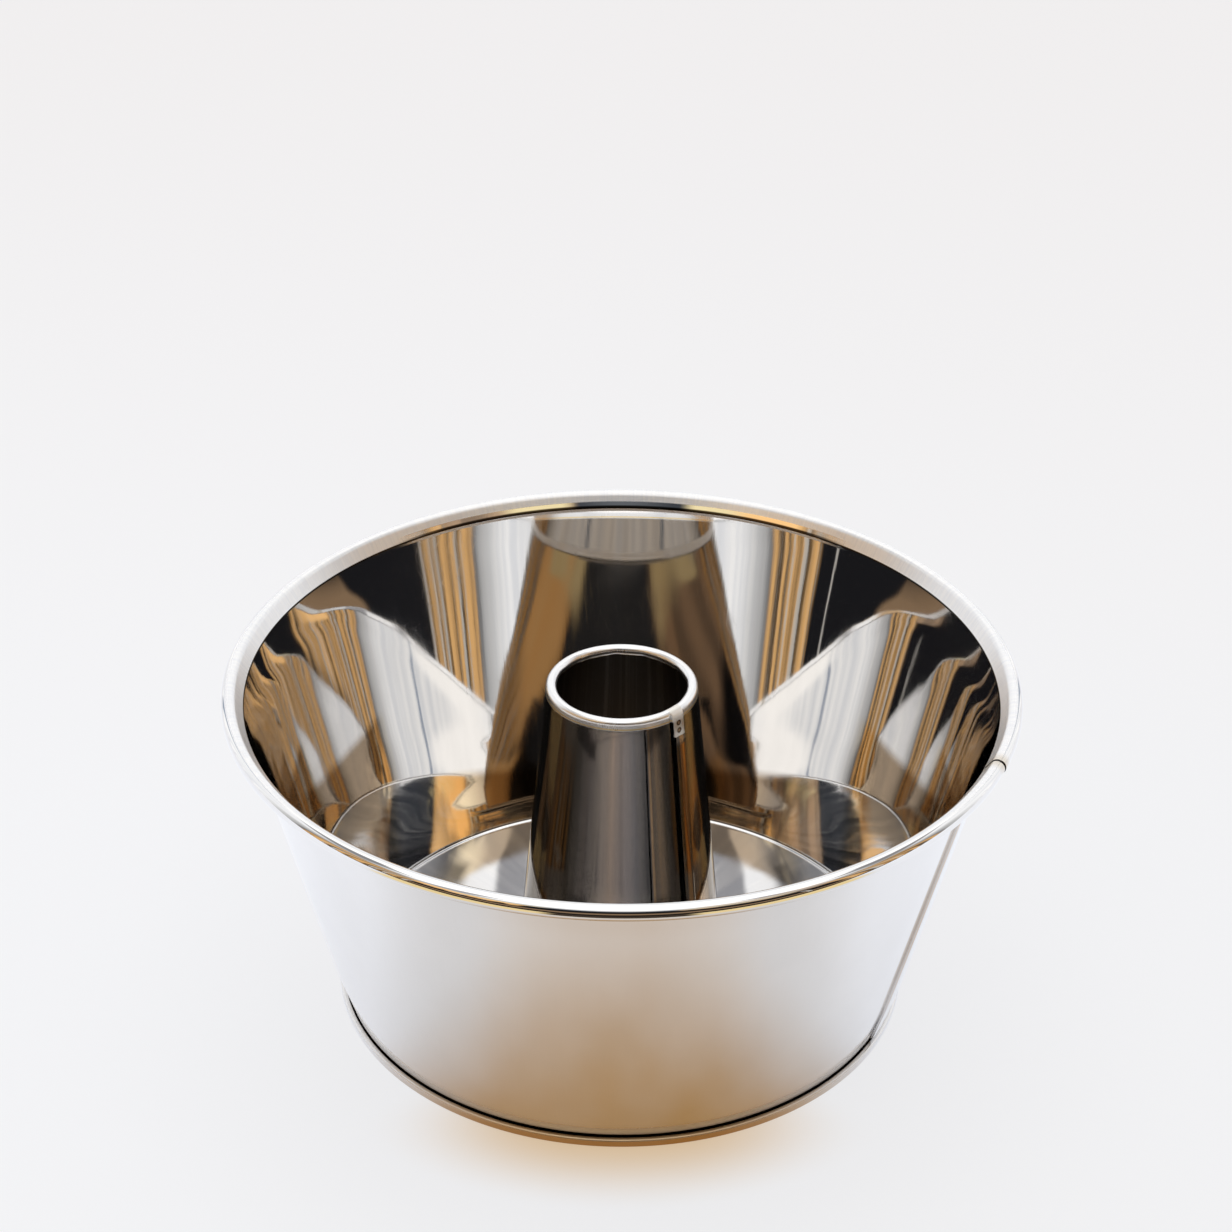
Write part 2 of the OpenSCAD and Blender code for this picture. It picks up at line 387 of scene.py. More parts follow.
def wall_lift(skin):
    """How far the wall leaves the plain cone on both sides: flutes, dents and bows."""
    line_z = np.interp(skin.place, wall_place, wall_line[:, 1])
    below_crease = skin.place < place_of_crease
    free = smooth(3 * mm, 30 * mm, line_z - wall_foot[1]) * smooth(2 * mm, 25 * mm, crease[1] - line_z)
    free = free * below_crease
    lift = free * waves(wall_az, wall_flutes, seed=4)
    lift = lift + free * np.sin(line_z / dent_height) * waves(wall_az, wall_dents, seed=9)
    from_back = np.degrees(np.abs(wrapped(wall_az - math.pi / 2)))
    for slopes, first, last in wall_bows:
        lift = lift - bow(line_z, slopes) * below_crease * smooth(first, last, from_back)
    return lift

def wall_piece():
    """The cone with the lock seam on its outer side and the joint in its roll."""
    skin = outline(wall_line, sheet)
    # The seam's columns move sideways from even places to those of its own section
    outer = (skin.side == -1) & (skin.place > place_of_foot) & (skin.place < place_of_crease)
    on_seam = smooth(0, seam_end, skin.z - seam_low) * smooth(0, seam_end, seam_high - skin.z) * outer
    height, shift = np.zeros(len(wall_az)), np.zeros(len(wall_az))
    height[wall_kind == in_seam] = seam_height
    shift[wall_kind == in_seam] = seam_place - flat_place
    sideways = wall_side + shift * (on_seam > 0.02)
    # The joint is a slit nearly down to the wire, and one side of the roll sits lower beside it
    on_roll = smooth(0, 0.6 * mm, skin.place - place_of_crease) * (skin.side > 0)
    slit = (1 - smooth(*slit_edges, np.abs(wall_side) / joint_w)) * (wall_kind == in_joint)
    past = -wrapped(wall_az - joint_az) * rim_reach - wall_side
    step = smooth(0, 0.2 * mm, past) * (1 - smooth(4 * mm, 16 * mm, past))
    lift = wall_lift(skin) - height * on_seam - on_roll * (slit_depth * slit + step_depth * step)
    return closed_mesh("wall_sheet", turned(skin, wall_az + sideways / skin.r, lift), skin.side)

wall = wall_piece()

# %% [markdown]
# ## The ledge ring and the loose plate
#
# Both are plain surfaces of revolution, so they take the same grid with even columns. The plate
# is stamped flat, but a loose bottom is never quite flat: a low wave round it and a slight dish
# make the streaks that fan out from the tube. A rounded groove just inside its edge catches the
# light as a fine bright line. Its hidden underside dips into the ledge's sheet.

# %% Ledge ring and bottom plate
plate_waves = [(5, 0.03 * mm), (13, 0.022 * mm), (27, 0.012 * mm), (61, 0.004 * mm)]
plate_dish = 0.02 * mm
groove_depth, groove_inset, groove_width = 0.45 * mm, 0.75 * mm, 0.45 * mm

def ring_piece():
    """The section of the ledge and its band, carried round the axis."""
    skin = outline(ring_line, sheet)
    return closed_mesh("ledge_ring_sheet", turned(skin, even_azimuths(360)), skin.side)

def plate_piece():
    """The plate's section with waves that fade at collar and edge, and a bell curve for the groove."""
    skin = outline(plate_line, plate_sheet)
    azimuth = even_azimuths(400)
    free = smooth(0, 10 * mm, plate_reach - skin.r) * smooth(0, 14 * mm, skin.r - collar_r)
    groove = np.exp(-((plate_reach - groove_inset - skin.r) / groove_width) ** 2)
    # The line runs inwards, so its left is below, and moving down is a positive lift
    down = groove_depth * groove - free * (waves(azimuth, plate_waves, seed=5) - plate_dish)
    return closed_mesh("bottom_plate_sheet", turned(skin, azimuth, down), skin.side)

ring = ring_piece()
plate = plate_piece()

# %% [markdown]
# ## The centre tube
#
# The tube is a cone that is locked along its side and curled inwards at the mouth. Above the lock
# seam a flat tab is held by two spot welds. The tab and the seam are again carried by columns of
# their own, and the welds are two shallow dimples.

# %% Sizes and columns of the tube
tube_seam_az, tube_clear = math.radians(-44), math.radians(9)
tube_w, tube_proud = 4.2 * mm, 0.9 * mm
tab_half, tab_proud, tab_len = 2.4 * mm, 0.5 * mm, 7 * mm
tab_top, tab_low = curl_centre[1], curl_centre[1] - tab_len
weld_d, weld_depth, weld_pitch = 2.2 * mm, 0.15 * mm, 2.6 * mm
weld_heights = [tab_top - weld_pitch, tab_top - 2 * weld_pitch]
# A groove beside the seam: from, to, and how far its flanks reach
groove_from, groove_to, flank = -tab_half - 0.7 * mm, -tab_half - 0.35 * mm, 0.05 * mm
tube_places = np.concatenate([
    [-tab_half - 1.2 * mm, groove_from - flank, groove_from, groove_to, groove_to + flank],
    np.linspace(-tab_half, tab_half, 25), [tab_half + 0.1 * mm, tab_half + 0.8 * mm]])
tube_az, tube_side, tube_kind = columns_round(220, [(tube_seam_az, tube_clear, tube_places)])
tube_flutes = [(4, 0.06 * mm), (9, 0.025 * mm), (19, 0.008 * mm)]
curl_waves = [(5, 0.10 * mm), (11, 0.09 * mm), (17, 0.08 * mm), (29, 0.05 * mm)]
curl_reach = 22 * mm
print("columns of the tube:", len(tube_az))

# %% The tube
tube_place = along(tube_line)
place_of_curl = tube_place[len(tube_line) - len(curl)]
place_of_tube_foot = tube_place[np.argmin(np.hypot(*(tube_line - tube_foot).T))]

def seam_and_tab(z):
    """Height of the seam, the tab with its dimples, and the groove, for each height z and column."""
    soft = 0.1 * mm
    near = tube_kind == 0
    aside = np.abs(tube_side)
    strip = smooth(tube_w / 2 + soft, tube_w / 2 - soft, aside) * near
    tab = smooth(tab_half + flank, tab_half - flank, aside) * near
    on_tab = smooth(-0.3 * mm, 0.1 * mm, z - tab_low)
    strip_rows = smooth(0, 0.4 * mm, z - hub_z - 0.6 * mm) * (1 - on_tab)
    tab_rows = on_tab * (1 - smooth(-0.2 * mm, 1.2 * mm, z - tab_top))
    height = tube_proud * strip * strip_rows + tab_proud * tab * tab_rows
    groove = smooth(groove_from - flank, groove_from, tube_side)
    groove = groove * smooth(groove_to + flank, groove_to, tube_side) * near
    height = height - 0.3 * mm * groove * (strip_rows + tab_rows)
    for weld_z in weld_heights:
        away = np.hypot(tube_side, z - weld_z) / (weld_d / 2)
        height = height - weld_depth * (1 - smooth(0.8, 1.0, away)) * tab
    return height

def tube_piece():
    """The cone with its seam and tab outside, low flutes on both sides, and an uneven curl."""
    skin = outline(tube_line, sheet)
    on_cone = skin.place > place_of_tube_foot
    free = smooth(2 * mm, 14 * mm, skin.z - hub_z) * smooth(1 * mm, 12 * mm, curl_centre[1] - skin.z)
    lift = waves(tube_az + tube_side / tube_foot[0], tube_flutes, seed=11) * free * on_cone
    on_curl = smooth(2 * mm, 7 * mm, skin.place - place_of_curl)
    lift = lift + on_curl * waves(tube_az + tube_side / curl_reach, curl_waves, seed=3)
    lift = lift - seam_and_tab(skin.z) * ((skin.side < 0) & on_cone)
    return closed_mesh("centre_tube_sheet", turned(skin, tube_az + tube_side / skin.r, lift), skin.side)

tube = tube_piece()

# %% [markdown]
# ## Shader maths
#
# A procedural material is arithmetic on numbers that change over the surface. Wiring dozens of
# nodes by hand hides that, so one small class wraps a socket: adding or multiplying two of them
# adds a Math node, and any other node comes from one method.

# %% A socket that does arithmetic
class Wire:
    """A node's output. Operators on it add Math nodes to the same tree."""

    def __init__(self, tree, socket):
        self.tree, self.socket = tree, socket

    def node(self, kind, inputs=None, out=0, ramp=None, **settings):
        """Adds a node of the kind with its settings, links or sets the given inputs, returns its output."""
        made = self.tree.nodes.new(kind)
        for name, value in settings.items():
            setattr(made, name, value)
        if ramp:
            stops = made.color_ramp.elements
            for i, (position, colour) in enumerate(ramp):
                stop = stops[i] if i < 2 else stops.new(position)
                stop.position, stop.color = position, (*colour, 1)
        for name, value in (inputs or {}).items():
            if isinstance(value, Wire):
                self.tree.links.new(value.socket, made.inputs[name])
            else:
                made.inputs[name].default_value = value
        return Wire(self.tree, made.outputs[out]) if len(made.outputs) else None

    def math(self, operation, *values):
        """A Math node that works on the given values."""
        return self.node("ShaderNodeMath", dict(enumerate(values)), operation=operation)

    def __add__(self, other):
        return self.math("ADD", self, other)

    def __radd__(self, other):
        return self.math("ADD", other, self)

    def __sub__(self, other):
        return self.math("SUBTRACT", self, other)

    def __rsub__(self, other):
        return self.math("SUBTRACT", other, self)

    def __mul__(self, other):
        return self.math("MULTIPLY", self, other)

    def __rmul__(self, other):
        return self.math("MULTIPLY", other, self)

    def __truediv__(self, other):
        return self.math("DIVIDE", self, other)

    def ramp(self, low, high):
        """0 below low, 1 above high and a soft step between; low may be the larger one."""
        return self.node("ShaderNodeMapRange", {"Value": self, "From Min": low, "From Max": high},
            interpolation_type="SMOOTHSTEP")

    def between(self, low, high, soft):
        """1 from low to high, with soft edges."""
        return self.ramp(low - soft, low + soft) * self.ramp(high + soft, high - soft)

# %% Colours and coordinates
def mix(factor, a, b):
    """Colour a where the factor is 0 and b where it is 1."""
    def colour(v):
        """A wire as it is, or three numbers with an opaque fourth."""
        return v if isinstance(v, Wire) else (*v, 1)
    return factor.node("ShaderNodeMix", {0: factor, 6: colour(a), 7: colour(b)}, out=2, data_type="RGBA")

def new_tree(owner):
    """An empty node tree on a material or world."""
    owner.use_nodes = True
    tree = owner.node_tree
    tree.nodes.clear()
    return tree

def source(tree, kind, output):
    """The named output of a new node that needs no inputs."""
    return Wire(tree, tree.nodes.new(kind).outputs[output])

def split(tree, output="Object"):
    """The three numbers of a texture coordinate, and the coordinate itself."""
    whole = source(tree, "ShaderNodeTexCoord", output)
    parts = whole.node("ShaderNodeSeparateXYZ", {0: whole}).socket.node
    return [Wire(tree, parts.outputs[k]) for k in range(3)] + [whole]

def noise_round(at, across, height, detail, roughness=0.5):
    """Noise at (x/r times across, y/r times across, height), so that it closes round the pan."""
    place = at.x.node("ShaderNodeCombineXYZ", {0: at.x / at.r * across, 1: at.y / at.r * across, 2: height})
    return at.x.node("ShaderNodeTexNoise", {"Vector": place, "Scale": 1.0, "Detail": detail,
        "Roughness": roughness})

# %% [markdown]
# ## Polished steel
#
# The sheet is bright stainless: a metal with a pale, nearly neutral colour and a low roughness.
# What keeps it from looking like a computer's mirror is small: fine polishing lines that run up
# the slope, faint cloudy haze where the polish is uneven, and hair scratches. The lines must
# follow the cone, so their pattern is made on the direction from the axis, which is the same all
# the way up the slope and closes on itself round the pan.

# %% Steel
steel_colour = (0.88, 0.87, 0.86)
polish_height, fine_height, scratch_height = 0.5, 0.15, 0.2
haze_rough, scratch_rough = 0.06, 0.03
bump_depth = 0.002 * mm

def steel(name, colour=steel_colour, rough=0.02, lines=160.0, up=6.0, marks=None):
    """Polished sheet: lines is how fine its polish is round the axis, up how fast it changes up the
    slope. The function marks adds what is seen on one piece alone: it changes the tint and the
    roughness, and may give how metallic the place is, or None for bare metal all over."""
    material = bpy.data.materials.new(name)
    tree = new_tree(material)
    x, y, z, whole = split(tree)
    r = (x * x + y * y).math("SQRT", x * x + y * y)
    r = r.math("MAXIMUM", r, 0.001)
    left = x.node("ShaderNodeAttribute", attribute_name="left", out=2)
    at = SimpleNamespace(x=x, y=y, z=z, r=r, left=left)
    # The fine lines are three times as fine as the polish, both round the pan and up the slope
    polish = noise_round(at, lines, z * (up * 10), 2.0, 0.55)
    fine = noise_round(at, lines * 3.1, z * (up * 30), 1.0, 0.55)
    cloud = x.node("ShaderNodeTexNoise", {"Vector": whole, "Scale": 22.0, "Detail": 3.0, "Roughness": 0.6})
    hair = x.node("ShaderNodeTexWave", {"Vector": whole, "Scale": 90.0, "Distortion": 18.0, "Detail": 3.0,
        "Detail Scale": 0.6})
    hair = hair.ramp(0.985, 1.0) * cloud.ramp(0.5, 0.62)
    patchy = cloud.ramp(0.38, 0.68)
    tint = mix(patchy * 0.5 + polish * 0.3, colour, tuple(c * 0.955 for c in colour))
    roughness = rough + haze_rough * patchy * polish + scratch_rough * hair
    metal = None
    if marks:
        tint, roughness, metal = marks(at, tint, roughness)
    height = polish * polish_height + fine * fine_height - hair * scratch_height
    bump = x.node("ShaderNodeBump", {"Height": height, "Strength": 1.0, "Distance": bump_depth})
    shader = x.node("ShaderNodeBsdfPrincipled", {"Base Color": tint, "Metallic": metal or 1.0,
        "Roughness": roughness, "Normal": bump})
    x.node("ShaderNodeOutputMaterial", {"Surface": shader})
    return material

# %% [markdown]
# ## Marks on the wall
#
# A used pan tells where two sheets meet and, beside the joint of the roll, where it was hot. Its
# steel here also carries painted light. Low on the inside of the far wall, patches of brown and
# gold are a painted reflection of the dark room. The lip of the roll is dull, with painted shade in
# the crease under it, and the joint of the roll has a slit painted dark as shade, with a little heat
# tint. Outside, the lock seam is a strip whose folded flank is painted whiter as a highlight, beside
# a dark line of painted shade, and painted shade darkens the gap round the foot. Painting these on a
# picture would need a flat layout of the wall. Here each one is a product of soft steps in
# height, distance from the axis and angle, so it lies exactly where the sheet bends.

# %% Where the wall's marks begin and are complete
# The brown and gold patches low on the far inside are a painted reflection of the dark room
# Cosines of the angle from the back
reflection_round, reflection_middle = (0.66, 0.80), (0.80, 0.88)
bright_round, dull_round = (0.74, 0.86), (-0.75, -0.45)
# Heights, distances from the axis, and places across a seam
reflection_top, reflection_fall, reflection_soft = 50.5 * mm, 33 * mm, (2 * mm, -3 * mm)
lip_heights, lip_reach = (108.4 * mm, 108.8 * mm), (124.5 * mm, 123.5 * mm)
dull_reach, roll_heights = (123.7 * mm, 122.9 * mm), (110.1 * mm, 110.5 * mm)
# Painted shade: dark lines in the crease under the lip
crease_shade_line, far_crease_shade_line = (108.2 * mm, 108.7 * mm, 0.1 * mm), (108.3 * mm, 109.1 * mm, 0.2 * mm)
far_haze = (107.4 * mm, 108.1 * mm, 0.1 * mm)
foot_gap_shade, foot_haze = (3.7 * mm, 3.3 * mm), (9.5 * mm, 4.5 * mm)
seam_foot, seam_head = (3.4 * mm, 4.0 * mm), (108.0 * mm, 107.4 * mm)
seam_strip = (-half_w - 0.1 * mm, half_w, 0.05 * mm)
seam_shade_line = (-half_w - 0.4 * mm, -half_w - 0.14 * mm, 0.05 * mm)
seam_highlight_edge = (-half_w + 0.1 * mm, -half_w + 0.2 * mm)
joint_heights, joint_heat = (108.6 * mm, 109.0 * mm), (-3 * mm, 3 * mm, 2 * mm)
joint_slit_shade = (-0.32 * mm, 0.32 * mm, 0.06 * mm)
print(f"brown below {(reflection_top - reflection_fall) / mm:.1f} mm at the far side")

# %% Inside of the wall
def painted_low_reflection(at, back, tint):
    """Painted reflection: brown and gold patches below a height that falls towards the far side, in place of
    the dark room mirrored there.
    """
    low = (at.z - (reflection_top - reflection_fall * back)).ramp(*reflection_soft) * at.left * back.ramp(*reflection_round)
    patches = noise_round(at, 5, at.z * 22, 3.0)
    # Painted reflection: dark brown and gold patches, plain brown in the middle of the far side
    reflection_colour = mix(patches.ramp(0.43, 0.56), (0.19, 0.15, 0.11), (0.88, 0.71, 0.46))
    reflection_colour = mix(back.ramp(*reflection_middle), reflection_colour, (0.36, 0.26, 0.16))
    return mix(low * 0.92, tint, reflection_colour)

def rolled_lip(at, back, tint, roughness):
    """The lip is brushed and dull except at the far side, with painted shade as a dark line in the crease
    under it. Gives tint, roughness and how chalky the place is."""
    bright = back.ramp(*bright_round)
    lip = at.left * at.z.ramp(*lip_heights) * at.r.ramp(*lip_reach)
    below_top = 1 - at.z.ramp(*roll_heights)
    chalky = lip * at.r.ramp(*dull_reach) * back.ramp(*dull_round) * (1 - bright * below_top)
    brushed = noise_round(at, 170, at.z * 120, 2.0)
    tint = mix(chalky, tint, mix(brushed.ramp(0.35, 0.65), (0.93, 0.94, 0.96), (1.0, 1.0, 1.0)))
    # Painted shade: a near black line in the crease under the lip, thicker at the far side
    tint = mix(at.left * at.z.between(*crease_shade_line), tint, (0.03, 0.025, 0.02))
    tint = mix(at.left * at.z.between(*far_crease_shade_line) * bright, tint, (0.04, 0.03, 0.02))
    roughness = roughness + chalky * 0.3 + at.left * at.z.between(*far_haze) * bright * 0.35
    return tint, roughness, chalky

# %% Outside of the wall, and all its marks
def lock_seam(at, azimuth, outer, tint):
    """A strip whose folded flank is painted whiter, a painted highlight, with a dark line of painted shade
    along its fold.
    """
    place = (azimuth - seam_az) * at.r
    on_slope = outer * at.z.ramp(*seam_foot) * at.z.ramp(*seam_head)
    # Painted highlight: the flank of the fold is whiter than the strip's top
    strip = mix(place.ramp(*seam_highlight_edge), (0.97, 0.98, 1.0), (0.86, 0.87, 0.89))
    tint = mix(place.between(*seam_strip) * on_slope, tint, strip)
    # Painted shade: a dark line under the fold
    return mix(place.between(*seam_shade_line) * on_slope, tint, (0.40, 0.40, 0.42))

def rim_joint(at, azimuth, tint):
    """A slit across the roll painted dark as shade, with a little heat tint beside it."""
    place = (azimuth - joint_az) * at.r
    on_roll = at.z.ramp(*joint_heights)
    tint = mix(place.between(*joint_heat) * on_roll * 0.7, tint, (0.72, 0.64, 0.52))
    # Painted shade: the slit through the roll is painted near black
    return mix(place.between(*joint_slit_shade) * on_roll, tint, (0.01, 0.01, 0.01))

def wall_marks(at, tint, roughness):
    """Painted reflection low down and a dull lip with painted shade in its crease inside. Painted shade in
    the foot's gap, haze, and the lock seam with its painted highlight and shade outside. The joint in the
    roll is painted dark as shade. The left side of the wall's line is its inside."""
    back = at.y / at.r
    outer = 1 - at.left
    azimuth = at.x.math("ARCTAN2", at.y, at.x)
    tint = painted_low_reflection(at, back, tint)
    tint, roughness, chalky = rolled_lip(at, back, tint, roughness)
    # Painted shade: the gap between the wall's foot and the band is painted near black
    tint = mix(outer * at.z.ramp(*foot_gap_shade), tint, (0.01, 0.008, 0.006))
    roughness = roughness + outer * at.z.ramp(*foot_haze) * 0.4
    tint = lock_seam(at, azimuth, outer, tint)
    tint = rim_joint(at, azimuth, tint)
    return tint, roughness, 1 - chalky * 0.4

# %% [markdown]
# ## Marks on the ring, the plate and the tube
#
# The band round the foot is painted brown at the front, a painted reflection of the shaded floor
# before it. The plate has streaks that run out from the tube: darker and brighter fans painted as
# reflection, with a roughness that changes along them as on a scoured sheet. The tube is duller than
# the rest and its painted reflections change round its side, so a colour ramp on the angle gives the
# tones of its front. The bore in painted shade, the bright curl, the tab, the welds and the line of
# painted shade beside the seam are laid over it in that order, with painted gold and amber
# reflections among them.

# %% Band and plate
band_reflection_round, band_bend = (0.68, 0.98), (2.1 * mm, 2.4 * mm)

def ring_marks(at, tint, roughness):
    """Painted brown at the front, a painted reflection of the shaded warm floor, and dull along the band's
    top bend.
    """
    front = (0 - at.y / at.r).ramp(*band_reflection_round)
    # Painted reflection: the band's front takes the brown of the shaded floor it mirrors
    tint = mix(front, tint, (0.66, 0.49, 0.30))
    return tint, roughness + at.z.ramp(*band_bend) * 0.35, None

def plate_marks(at, tint, roughness):
    """Streaks that run out from the tube: noise that changes fast round the axis and slowly outwards. Its
    darker and brighter fans in the tint are painted reflection; its roughness changes as on a scoured sheet.
    """
    sheen_and_scour_streak = noise_round(at, 7, at.r * 9, 4.0)
    # Painted reflection: darker and brighter fans running out from the tube
    tint = mix(sheen_and_scour_streak.ramp(0.40, 0.62), (0.76, 0.76, 0.77), tint)
    return tint, roughness + sheen_and_scour_streak.ramp(0.35, 0.65) * 0.08, None

# %% Where the tube's marks begin and are complete
# Painted reflection tones round the tube, from the back over its left, the front (0.5) and its right to the
# back
tube_reflection_tones = [(0.0, (0.30, 0.25, 0.20)), (0.12, (0.12, 0.10, 0.08)), (0.20, (0.22, 0.19, 0.17)),
    (0.30, (0.27, 0.26, 0.25)), (0.37, (0.34, 0.33, 0.33)), (0.42, (0.50, 0.44, 0.39)),
    (0.50, (0.42, 0.39, 0.38)), (0.57, (0.40, 0.39, 0.40)), (0.61, (0.28, 0.28, 0.29)),
    (0.67, (0.20, 0.20, 0.20)), (0.76, (0.24, 0.21, 0.18)), (0.82, (0.60, 0.43, 0.28)),
    (0.88, (0.22, 0.18, 0.14)), (1.0, (0.30, 0.25, 0.20))]
curl_heights, gold_reflection_line = (106.8 * mm, 107.1 * mm), (107.2 * mm, 107.7 * mm, 0.1 * mm)
under_curl, over_hub = (107.2 * mm, 106.6 * mm), (4.8 * mm, 5.2 * mm)
tab_width = (-tab_half, tab_half, 0.05 * mm)
tab_from, tab_to = tab_low - 0.2 * mm, tab_low + 0.2 * mm
weld_disc, weld_middle = (1.05 * mm, 0.80 * mm), (0.65 * mm, 0.35 * mm)
amber_reflection_strip = (-0.6 * mm, 1.2 * mm, 0.3 * mm)
seam_side_shade = (-tab_half - 0.7 * mm, -tab_half + 0.12 * mm, 0.04 * mm)
seam_side_shade_below = (-tab_half + 0.46 * mm, -tab_half + 0.40 * mm)
print("tones round the tube:", len(tube_reflection_tones))

# %% Tube
def tab_and_welds(at, place, on_tab, tint):
    """A bright tab with two brown discs, each paler in its middle."""
    tint = mix(on_tab, tint, (0.90, 0.87, 0.82))
    for weld_z in weld_heights:
        up = at.z - weld_z
        far = place.math("SQRT", place * place + up * up)
        tint = mix(far.ramp(*weld_disc) * on_tab, tint, (0.10, 0.065, 0.04))
        tint = mix(far.ramp(*weld_middle) * on_tab, tint, (0.50, 0.36, 0.24))
    return tint

def tube_marks(at, tint, roughness):
    """The bore is dull and painted dark as shade, the curl and the tab are bright, and a line of painted
    shade runs beside the seam. A gold line under the curl and an amber strip below the tab are painted
    reflection. The left side of the tube's line is its inside. Its own tones, painted reflections, take
    the place of the plain tint."""
    round_front = at.x.math("ARCTAN2", at.x, 0 - at.y) * (1 / math.pi) + 0.5
    # Painted reflection: the room's tones mirrored round the tube, laid on as its colour
    body = at.x.node("ShaderNodeValToRGB", {"Fac": round_front}, ramp=tube_reflection_tones)
    shade = at.x.node("ShaderNodeTexNoise", {"W": round_front * 22 + at.z * 3, "Scale": 1.0, "Detail": 3.0},
        noise_dimensions="1D")
    tint = mix(shade.ramp(0.62, 0.40) * 0.35, body, (0.30, 0.28, 0.26))
    on_curl = at.z.ramp(*curl_heights)
    tint = mix(on_curl, tint, (0.93, 0.92, 0.91))
    # Painted reflection: a gold line on the outside just under the curl
    tint = mix(at.z.between(*gold_reflection_line) * at.left.ramp(1, 0), tint, (0.95, 0.74, 0.40))
    place = (at.x.math("ARCTAN2", at.y, at.x) - tube_seam_az) * at.r
    across = place.between(*tab_width)
    on_tab = across * at.z.ramp(tab_from, tab_to)
    tint = tab_and_welds(at, place, on_tab, tint)
    over = at.z.ramp(*over_hub)
    below = across * at.z.ramp(tab_to, tab_from) * over
    # Painted reflection: an amber strip on the seam below the tab
    tint = mix(below * place.between(*amber_reflection_strip), tint, (0.76, 0.50, 0.28))
    # Painted shade: a near black line in the groove beside the seam
    line = place.between(*seam_side_shade) * at.z.ramp(*under_curl) * over
    line = line.math("MAXIMUM", line, below * place.ramp(*seam_side_shade_below))
    tint = mix(line, tint, (0.004, 0.004, 0.004))
    # Painted shade: the inside of the tube below the curl is painted dark
    bore_shade = (hub_r - at.r).ramp(0, 0.1 * mm) * at.left * at.z.ramp(*under_curl)
    tint = mix(bore_shade, tint, mix(shade.ramp(0.45, 0.75), (0.13, 0.12, 0.11), (0.24, 0.23, 0.22)))
    return tint, roughness + on_tab * 0.25 + bore_shade * 0.3 + on_curl * 0.25, None

# %% [markdown]
# ## Finishes and bodies
#
# Each new piece takes its steel, hides the CAD node that it replaces, and rides on that node's body,
# so that the plate and the tube rise together when the insert is lifted. The wire is hidden in
# the roll, so the CAD node itself stays and gets a plain grey finish.

# %% Finishes and bodies
wall_steel = steel("wall_steel", marks=wall_marks)
ring_steel = steel("ring_steel", lines=40.0, up=40.0, marks=ring_marks)
plate_steel = steel("plate_steel", rough=0.05, lines=60.0, up=4.0, marks=plate_marks)
tube_steel = steel("tube_steel", colour=(0.44, 0.41, 0.39), lines=90.0, marks=tube_marks)
wire_steel = steel("wire_steel", colour=(0.55, 0.55, 0.56), rough=0.25)
for piece, material, body, node, slot in (
        (wall, wall_steel, "pan", "wall", "wall_steel"),
        (ring, ring_steel, "pan", "ledge_ring", "ring_steel"),
        (plate, plate_steel, "insert", "bottom_plate", "plate_steel"),
        (tube, tube_steel, "insert", "centre_tube", "tube_steel")):
    piece.data.materials.append(material)
    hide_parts(node)
    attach(piece, body)
for material_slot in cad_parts["rim_wire"].material_slots:
    material_slot.material = wire_steel
print("materials:", [material.name for material in bpy.data.materials])

# %% [markdown]
# ## The studio floor
#
# Polished metal shows its surroundings, so the studio is built for the reflections: a white floor
# and a white room, open towards the camera, where the unlit end of the room is dark with a few
# warm lights in it. The camera itself sees only the pale floor and backdrop.
#
# The floor has two colours. The one that the camera sees is near white, and warm close to the
# front of the foot, where the steel throws light back on it. The one that the steel mirrors has
# the warm patch at the front, the white sides, a strip of light and a dark strip farther off, and
# nothing but dark beyond the edge of the table.

# %% Floor
floor_half, table_edge = 4.0, (-0.43, -0.45)
backdrop_floor, floor_white = (0.90, 0.885, 0.89), ((0.925, 0.932, 0.952), (0.94, 0.95, 0.975))
lamp_strip, dark_strip = (1.0, 0.80, 0.42), (0.06, 0.045, 0.035)
floor_corners = [(-floor_half, -floor_half, 0), (floor_half, -floor_half, 0),
    (floor_half, floor_half, 0), (-floor_half, floor_half, 0)]
floor_mesh = bpy.data.meshes.new("floor")
floor_mesh.from_pydata(floor_corners, [], [(0, 1, 2, 3)])
floor = bpy.data.objects.new("floor", floor_mesh)
bpy.context.scene.collection.objects.link(floor)
print("floor:", 2 * floor_half, "m across")

# %% Colours of the floor
# Distances from the axis
warm_light_near, cloud_from, cloud_width = (122 * mm, 90 * mm), 86 * mm, 92 * mm
strips_from, strips_front = (205 * mm, 235 * mm), (-50 * mm, -120 * mm)
# How far to the side of straight ahead, as sideways over forwards
lamp_aside, dark_aside = (1.7, 1.3), (0.34, 0.24)

def seen_floor(x, r, forward):
    """What the camera sees: near white, with painted warm light close to the front of the foot."""
    # Painted light: warm light thrown back by the steel onto the floor in front of the foot
    near = r.ramp(*warm_light_near) * forward.ramp(0.70, 1.0)
    return mix(near, mix(x.ramp(0.25, -0.25), *floor_white), (0.77, 0.585, 0.385))

